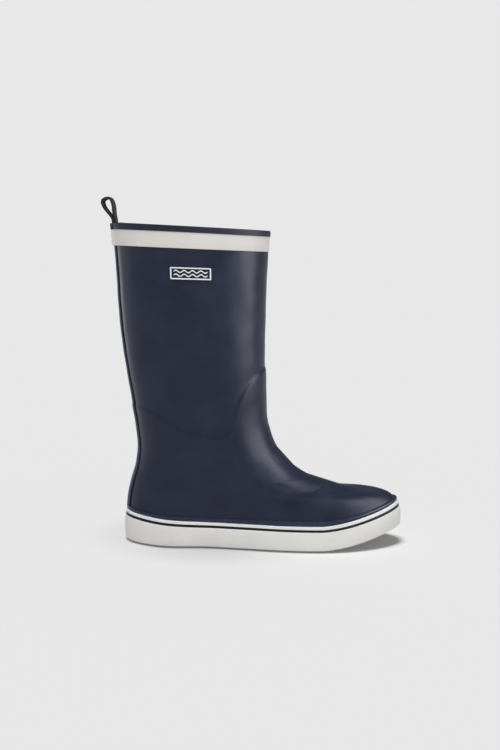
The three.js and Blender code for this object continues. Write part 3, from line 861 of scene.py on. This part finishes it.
@dataclass
class SoleParts:
    """The tread and the loose footbed, and the hidden parts between them."""

    finishes: Finishes
    tread: float = 6.0
    groove: float = 2.4
    pitch: float = 12.0
    land: float = 15.0
    footbed_foot: float = 14.9
    footbed: float = 4.0
    cover_foot: float = 19.2
    cover: float = 0.8
    footbed_in: float = 7.8

    def slab(
        self, drop: float, out: float, height: Callable[[Array, Array], Array], thickness: float,
        cells: tuple[int, int], up: bool,
    ) -> bmesh.types.BMesh:
        """A level plate with the sole's outline.

        Args:
            drop: where the outline is taken.
            out: how far outwards.
            height: height in mm from x and the share across.
            thickness: thickness in mm.
            cells: cells along and across.
            up: the plate is thickened upwards.

        Returns:
            The bmesh, closed.
        """
        bm, column, row = grid(*cells)
        stretch_uv(bm, 270, 90)
        angle = column * math.pi / cells[0]
        inner = SURFACE.layer(np.full_like(angle, drop), angle, out)
        outer = SURFACE.layer(np.full_like(angle, drop), 2 * math.pi - angle, out)
        across = (row / cells[1])[:, None]
        places = outer * (1 - across) + inner * across
        places[:, 2] = height(places[:, 0] / MM, row / cells[1]) * MM
        set_places(bm, places)
        thicken(bm, (0, 0, thickness * MM * (1 if up else -1)))
        return bm

    def tread_relief(self, x: Array, across: Array) -> Array:
        """Height of the tread's underside with its zigzag siping."""
        y = (across - 0.5) * 80
        zig = 3 * (2 * np.abs(((y + 26) / 26) % 2 - 1) - 1)
        phase = (x + zig + SURFACE.sole_length / 2 - 16) % self.pitch
        wide = 1 - smooth(0.9, 1.3, np.minimum(phase, self.pitch - phase))
        fine = 1 - smooth(0.3, 0.6, np.abs(phase - self.pitch / 2))
        rim = smooth(0.02, 0.06, across) * (1 - smooth(0.94, 0.98, across))
        ends = smooth(-132, -126, x) * (1 - smooth(122, 130, x))
        land = smooth(self.land, self.land + 1.5, np.abs(x))
        return SURFACE.tread_height(x) + self.groove * np.maximum(wide, 0.6 * fine) * rim * ends * land

    def build(self) -> None:
        """Makes the sole's pieces and dresses the CAD ones that only show when it is taken apart."""
        bm = self.slab(SURFACE.at_level(-20), 0.1, self.tread_relief, self.tread - 2.5, (560, 60), True)
        made = finish_mesh(bm, "tread_plate", self.finishes.get(TREAD))
        register(made, Body.BOOT, "tread_rubber", "outsole_tread")

        def cup(foot: float) -> Callable[[Array, Array], Array]:
            """Height of a footbed layer with its edges turned up a little."""
            return lambda x, across: SURFACE.tread_height(x) + foot + 1.6 * np.abs(2 * across - 1) ** 4

        drop = SURFACE.at_level(-20)
        bm = self.slab(drop, -self.footbed_in, cup(self.footbed_foot), self.footbed, (96, 28), True)
        made = finish_mesh(bm, "footbed_foam_layer", self.finishes.get(FOAM))
        register(made, Body.FOOTBED, "footbed_foam", "footbed")
        bm = self.slab(drop, -self.footbed_in - 0.3, cup(self.cover_foot - 0.25), self.cover, (96, 28), True)
        made = finish_mesh(bm, "footbed_cover_layer", self.finishes.get(COVER_KNIT))
        register(made, Body.FOOTBED, "footbed_cover", "footbed_cover")
        for node, finish in {"midsole_filler": FILLER, "insole_board": BOARD, "shank": STEEL}.items():
            dress(node, self.finishes.get(finish))


@dataclass
class Collar:
    """The cream band, the navy binding and the stitches that hold the webbing."""

    finishes: Finishes
    upper: Upper
    binding: float = 6.2
    band: float = 16.0
    band_thickness: float = 1.0
    binding_thickness: float = 1.35
    rise: float = 3.1
    stitch_width: float = 9
    stitch_top: float = 10.6
    stitch_foot: float = 19.6

    def bulge(self, angle: Array) -> Array:
        """How far the bands rise over the strip up the back."""
        return self.rise * (1 - smooth(7.0, 11.5, SURFACE.aside(angle)))

    def build_band(self) -> bpy.types.Object:
        """Makes the cream band."""
        bottom = self.binding + self.band
        thick = self.band_thickness
        corners = [(self.binding - 1, -0.4), (self.binding - 1, thick), (bottom, thick), (bottom, -0.4)]
        shape = rounded(corners, [0, 0.5, 0.7, 0], 5)

        def outline(row: Array, angle: Array) -> tuple[Array, Array]:
            """The band's section."""
            drop, out = shape[row].T
            return drop, out + np.where(out > 0, self.bulge(angle), 0)

        made = ring("collar_cream_band", self.finishes.get(CREAM), len(shape), outline, 384)
        return register(made, Body.BOOT, "collar_band", "top_band")

    def build_binding(self) -> bpy.types.Object:
        """Makes the binding folded over the rim."""
        outer = self.band_thickness + 0.75
        inner = -self.upper.lining_leg - self.upper.lining - 0.2
        wall = inner - self.binding_thickness
        corners = [
            (self.binding, -0.2), (self.binding, outer), (-0.4, outer), (-0.4, wall), (self.binding, wall),
            (self.binding, inner), (1.4, inner), (1.4, -0.2),
        ]
        shape = rounded(corners, [0.1, 0.55, 1.5, 1.5, 0.5, 0.1, 0, 0], 6)

        def outline(row: Array, angle: Array) -> tuple[Array, Array]:
            """The binding's section."""
            drop, out = shape[row].T
            rise = np.where(out > 0, 0.9 * self.bulge(angle), 0)
            give = np.where(out < inner + 0.3, self.upper.tail(drop, angle), 0)
            return drop, out + rise - give

        made = ring("collar_binding_band", self.finishes.get(BINDING_NAVY), len(shape), outline, 384)
        return register(made, Body.BOOT, "collar_binding", "rim_binding")

    def build_stitches(self) -> bpy.types.Object:
        """Makes the box of stitches at the back of the band."""
        bm = bmesh.new()
        bm.loops.layers.uv.new("UVMap")
        half, top, foot = self.stitch_width / 2, self.stitch_top, self.stitch_foot
        box = [(y, drop, 0) for drop in (foot, top) for y in np.linspace(-half, half, 5)]
        box += [(y, drop, 1) for y in (-half - 1.1, half + 1.1) for drop in np.linspace(top + 1, foot - 1, 4)]
        for y, drop, upright in box:
            angle = np.array(y / SURFACE.leg_radius % (2 * math.pi))
            out = self.band_thickness + float(self.bulge(angle)) + 0.05
            middle = SURFACE.layer(np.array(drop), angle, np.array(out))
            beside = SURFACE.layer(np.array(drop), angle + 0.01, np.array(out))
            along = Vector((0, 0, 1)) if upright else Vector(beside - middle).normalized()
            turn = along.to_track_quat("X", "Z").to_matrix().to_4x4()
            size = Matrix.Diagonal((0.95 * MM, 0.32 * MM, 0.32 * MM, 1))
            bmesh.ops.create_uvsphere(
                bm, u_segments=10, v_segments=6, radius=1,
                matrix=Matrix.Translation(Vector(middle)) @ turn @ size,
            )
        made = finish_mesh(bm, "collar_stitches", self.finishes.get(THREAD))
        return register(made, Body.BOOT, "thread", "collar_stitch")

    def build(self) -> None:
        """Makes the collar."""
        self.build_band()
        self.build_binding()
        self.build_stitches()


@dataclass
class PullLoop:
    """The webbing loop above the rim."""

    finishes: Finishes
    rise: float = 24.6
    width: float = 14.0
    thickness: float = 2.1
    lean: float = 22.0
    twist: float = 0.03
    pivot: tuple[float, float] = (-147.9, 327.3)
    buried: float = 13.0

    def path(self, steps: int = 18) -> Array:
        """The middle line of the webbing, seen from the side, from inside the rim round and back."""
        half = self.thickness / 2 + 0.02
        belly = self.rise * 0.24 - half
        top = self.rise - half
        curves = [
            ((half, 1.5), (half + 0.3, 0.3 * self.rise), (belly, 0.5 * self.rise), (belly, 0.74 * self.rise)),
            ((belly, 0.74 * self.rise), (belly, 0.93 * self.rise), (belly * 0.6, top), (0, top)),
        ]
        points = []
        for a, b, c, d in curves:
            for t in np.linspace(0, 1, steps + 1)[:-1]:
                weights = ((1 - t) ** 3, 3 * t * (1 - t) ** 2, 3 * t * t * (1 - t), t**3)
                points.append(sum(w * np.array(p, float) for w, p in zip(weights, (a, b, c, d))))
        points.append(np.array((0.0, top)))
        points += [p * (-1, 1) for p in points[-2::-1]]
        cos, sin = math.cos(math.radians(self.lean)), math.sin(math.radians(self.lean))
        at_x, at_z = self.pivot
        loop = [(at_x + x * cos - z * sin, at_z + x * sin + z * cos) for x, z in points]
        down = [-self.buried * s for s in (1, 0.8, 0.6, 0.4, 0.22, 0.08)]
        fore = [(at_x + half + 0.05 * z, at_z + z) for z in down]
        aft = [(at_x - half + 0.05 * z, at_z + z) for z in reversed(down)]
        line = np.array(fore + loop + aft)
        for _ in range(3):
            line[1:-1] = 0.25 * line[:-2] + 0.5 * line[1:-1] + 0.25 * line[2:]
        return line

    def build(self) -> None:
        """Makes the webbing in place of the CAD loop and its tail."""
        line = self.path()
        half, thick = self.width / 2, self.thickness / 2
        section = rounded([(-half, -thick), (half, -thick), (half, thick), (-half, thick)], [0.7] * 4, 4)
        bm, column, row = grid(len(section), len(line) - 1)
        column = (column % len(section)).astype(int)
        row = row.astype(int)
        length = np.concatenate(([0], np.cumsum(np.linalg.norm(np.diff(line, axis=0), axis=1))))
        tangent = np.gradient(line, axis=0)
        tangent /= np.linalg.norm(tangent, axis=1, keepdims=True)
        side, off = section[column].T
        centre = line[row] + np.stack((-tangent[row, 1], tangent[row, 0]), -1) * off[:, None]
        turned = centre[:, 0] + self.twist * side * smooth(326, 338, centre[:, 1])
        set_places(bm, np.stack((turned, side, centre[:, 1]), -1) * MM)
        layer = bm.loops.layers.uv.active
        for face in bm.faces:
            for corner in face.loops:
                u, v = corner[layer].uv
                place = v * (len(line) - 1)
                corner[layer].uv = (np.interp(place, np.arange(len(line)), length), corner.vert.co.y / MM)
        cap_ends(bm)
        made = finish_mesh(bm, "pull_loop_webbing", self.finishes.get(BLACK_WEBBING))
        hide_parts("pull_loop", "pull_loop_tail")
        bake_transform(made)
        LOG.info("%s bends between %s and %s", made.name, Body.BOOT.value, Body.LOOP.value)


@dataclass
class Badge:
    """The raised panel on the outer side of the leg, with a plain motif of waves."""

    finishes: Finishes
    size: tuple[float, float] = (39.5, 12.6)
    drop: float = 46.9
    along: float = 0.52
    thickness: float = 0.9
    border: float = 1.3
    proud: float = 0.45
    wave_length: float = 8.0
    waves: int = 4
    wave_rise: float = 1.1
    wave_line: float = 1.2
    wave_apart: float = 3.8
    sink: float = 0.3

    def panel(self, width: float, height: float, radius: float) -> bmesh.types.BMesh:
        """A flat rectangle with round corners, in mm."""
        bm = bmesh.new()
        bm.loops.layers.uv.new("UVMap")
        bmesh.ops.create_grid(bm, x_segments=1, y_segments=1, size=0.5)
        bmesh.ops.scale(bm, vec=(width, height, 1), verts=bm.verts)
        corners = {"offset": radius, "segments": 6, "profile": 0.5, "affect": "VERTICES", "material": -1}
        bmesh.ops.bevel(bm, geom=bm.verts[:], **corners)
        return bm

    def slice_up(self, bm: bmesh.types.BMesh) -> None:
        """Cuts a flat panel in narrow strips, so that it can follow the leg."""
        for x in np.linspace(-self.size[0] / 2, self.size[0] / 2, 42)[1:-1]:
            geometry = bm.verts[:] + bm.edges[:] + bm.faces[:]
            bmesh.ops.bisect_plane(bm, geom=geometry, plane_co=(float(x), 0, 0), plane_no=(1, 0, 0))

    def place(
        self, bm: bmesh.types.BMesh, name: str, finish: Rubber, slot: str, node: str, out: float
    ) -> None:
        """Lays a finished flat piece on the leg and registers it."""
        lay_on_leg(bm, self.drop, self.along, out)
        made = finish_mesh(bm, name, self.finishes.get(finish))
        edge = made.modifiers.new("soft_edge", "BEVEL")
        edge.width, edge.segments, edge.limit_method = 0.16 * MM, 2, "ANGLE"
        register(made, Body.BOOT, slot, node)

    def build(self) -> None:
        """Makes the base, the frame and the waves."""
        width, height = self.size
        face, lift = self.thickness - self.sink, (0, 0, self.proud + self.sink)
        base = self.panel(width, height, 1.2)
        self.slice_up(base)
        thicken(base, (0, 0, self.thickness + self.sink))
        self.place(base, "badge_panel", BADGE_NAVY, "badge_rubber", "badge_base", -self.sink)

        rim = self.panel(width - 0.5, height - 0.5, 1.0)
        made = bmesh.ops.inset_region(
            rim, faces=rim.faces[:], thickness=self.border, use_boundary=True, use_even_offset=True
        )
        inside = [f for f in rim.faces if f not in made["faces"]]
        bmesh.ops.delete(rim, geom=inside, context="FACES")
        self.slice_up(rim)
        thicken(rim, lift)
        self.place(rim, "badge_frame", PRINT, "badge_print", "badge_border", face)

        cells = 24 * self.waves
        for level, side in (("high", "upper"), ("low", "lower")):
            bm, column, row = grid(cells, 1)
            x = (column / cells - 0.5) * self.waves * self.wave_length
            middle = self.wave_apart / 2 * (1 if side == "upper" else -1)
            crest = self.wave_rise * np.sin(2 * math.pi * x / self.wave_length)
            set_places(bm, np.stack((x, middle + crest + (row - 0.5) * self.wave_line, 0 * x), -1))
            thicken(bm, lift)
            self.place(bm, f"badge_crest_{level}", PRINT, "badge_print", f"badge_wave_{side}", face)


@dataclass(frozen=True)
class Softbox:
    """A soft panel; azimuth 0 is behind the camera and 90 is on the toe's side, in degrees."""

    name: str
    power: float
    azimuth: float
    elevation: float
    size: tuple[float, float]
    highlight: bool  # it only shows in the rubber as a highlight; the others only light the pieces


SOFTBOXES = (
    Softbox("toe_side_panel", 36, 73, 13, (0.75, 2.0), True),
    Softbox("heel_side_panel", 3.5, -142, 8, (0.6, 1.4), True),
    Softbox("heel_glow", 1, -98, 8, (0.5, 1.2), True),
    Softbox("top_panel", 18, 30, 78, (1.6, 1.2), False),
    Softbox("vamp_fill", 8, -15, 58, (2.0, 1.4), False),
    Softbox("front_fill", 4.6, -20, 12, (2.4, 1.6), False),
    Softbox("toe_fill", 4, 50, 30, (1.6, 1.2), False),
    Softbox("far_fill", 12, 178, 15, (2.4, 1.6), False),
)


@dataclass
class Studio:
    """Camera, floor and light."""

    visible: float = 0.807
    ambient: float = 0.13
    floor_albedo: float = 0.62
    floor_glow: float = 0.1
    panel_distance: float = 1.3
    middle: tuple[float, float, float] = (-0.03, 0, 0.17)
    distance: float = 1.05
    azimuth: float = 3.0
    height: float = 0.30
    aim: tuple[float, float, float] = (-0.0122, 0.0, 0.1715)
    lens: float = 49.9

    def build_camera(self) -> None:
        """Makes the camera."""
        data = bpy.data.cameras.new("camera")
        data.lens, data.sensor_width, data.sensor_fit = self.lens, 36, "AUTO"
        data.clip_start, data.clip_end = 0.05, 200
        camera = bpy.data.objects.new("camera", data)
        turn = math.radians(self.azimuth)
        camera.location = (
            self.aim[0] + self.distance * math.sin(turn), -self.distance * math.cos(turn), self.height,
        )
        camera.rotation_euler = (Vector(self.aim) - camera.location).to_track_quat("-Z", "Y").to_euler()
        bpy.context.scene.collection.objects.link(camera)
        bpy.context.scene.camera = camera

    def build_floor(self) -> bpy.types.Object:
        """Makes the floor."""
        bm = bmesh.new()
        bmesh.ops.create_grid(bm, x_segments=1, y_segments=1, size=60)
        mesh = bpy.data.meshes.new("studio_floor")
        bm.to_mesh(mesh)
        bm.free()
        book = NodeBook("studio_floor")
        book.set(
            Base_Color=(self.floor_albedo,) * 3, Roughness=1.0, Specular_IOR_Level=0.0,
            Emission_Color=(1, 1, 1), Emission_Strength=self.floor_glow,
        )
        mesh.materials.append(book.material)
        floor = bpy.data.objects.new("studio_floor", mesh)
        bpy.context.scene.collection.objects.link(floor)
        floor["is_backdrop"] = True
        return floor

    def build_world(self) -> None:
        """Makes the even backdrop, which is paler than the light that it gives."""
        world = bpy.data.worlds.new("studio")
        bpy.context.scene.world = world
        world.use_nodes = True
        tree = world.node_tree
        background = tree.nodes["Background"]
        path = tree.nodes.new("ShaderNodeLightPath")
        level = tree.nodes.new("ShaderNodeMapRange")
        level.inputs[3].default_value, level.inputs[4].default_value = self.ambient, self.visible
        tree.links.new(path.outputs["Is Camera Ray"], level.inputs[0])
        tree.links.new(level.outputs[0], background.inputs["Strength"])
        background.inputs["Color"].default_value = (1, 1, 1, 1)

    def lamp(self, kind: str, name: str, azimuth: float, elevation: float) -> bpy.types.Object:
        """A lamp at the panels' distance from the boot, turned to face it.

        Args:
            kind: the light's type.
            name: the lamp's name.
            azimuth: degrees round from behind the camera towards the toe's side.
            elevation: degrees above the floor.

        Returns:
            The lamp.
        """
        lamp = bpy.data.objects.new(name, bpy.data.lights.new(name, kind))
        turn, lift = math.radians(azimuth), math.radians(elevation)
        flat = math.cos(lift)
        towards = Vector((math.sin(turn) * flat, -math.cos(turn) * flat, math.sin(lift)))
        lamp.location = Vector(self.middle) + towards * self.panel_distance
        lamp.rotation_euler = towards.to_track_quat("Z", "Y").to_euler()
        bpy.context.scene.collection.objects.link(lamp)
        return lamp

    def build_lights(self, floor: bpy.types.Object) -> None:
        """Makes the lights: one sun for the floor alone, and panels for the boot alone."""
        only_floor = bpy.data.collections.new("lit_by_sun")
        only_floor.objects.link(floor)
        sun = self.lamp("SUN", "overhead", -60, 85)
        given = (self.visible - self.floor_glow) / self.floor_albedo - self.ambient
        sun.data.energy, sun.data.angle = given * math.pi, math.radians(22)
        sun.light_linking.receiver_collection = only_floor
        boot = bpy.data.collections.new("lit_by_softboxes")
        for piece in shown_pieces():
            boot.objects.link(piece)
        for box in SOFTBOXES:
            lamp = self.lamp("AREA", box.name, box.azimuth, box.elevation)
            lamp.data.shape, lamp.data.energy = "RECTANGLE", box.power
            lamp.data.size, lamp.data.size_y = box.size
            lamp.light_linking.receiver_collection = boot
            lamp.visible_diffuse, lamp.visible_glossy = not box.highlight, box.highlight

    def build(self) -> None:
        """Makes the studio, apart from the camera."""
        floor = self.build_floor()
        self.build_world()
        self.build_lights(floor)
        bpy.context.scene.view_settings.view_transform = "Standard"


def main() -> None:
    """Builds the boot, the studio and the reports."""
    logging.basicConfig(level=logging.INFO, format="%(name)s: %(message)s")
    studio = Studio()
    studio.build_camera()
    finishes = Finishes()
    upper = Upper(finishes)
    upper.build()
    Foxing(finishes).build()
    SoleParts(finishes).build()
    Collar(finishes, upper).build()
    PullLoop(finishes).build()
    Badge(finishes).build()
    studio.build()


if __name__ == "__main__":
    main()
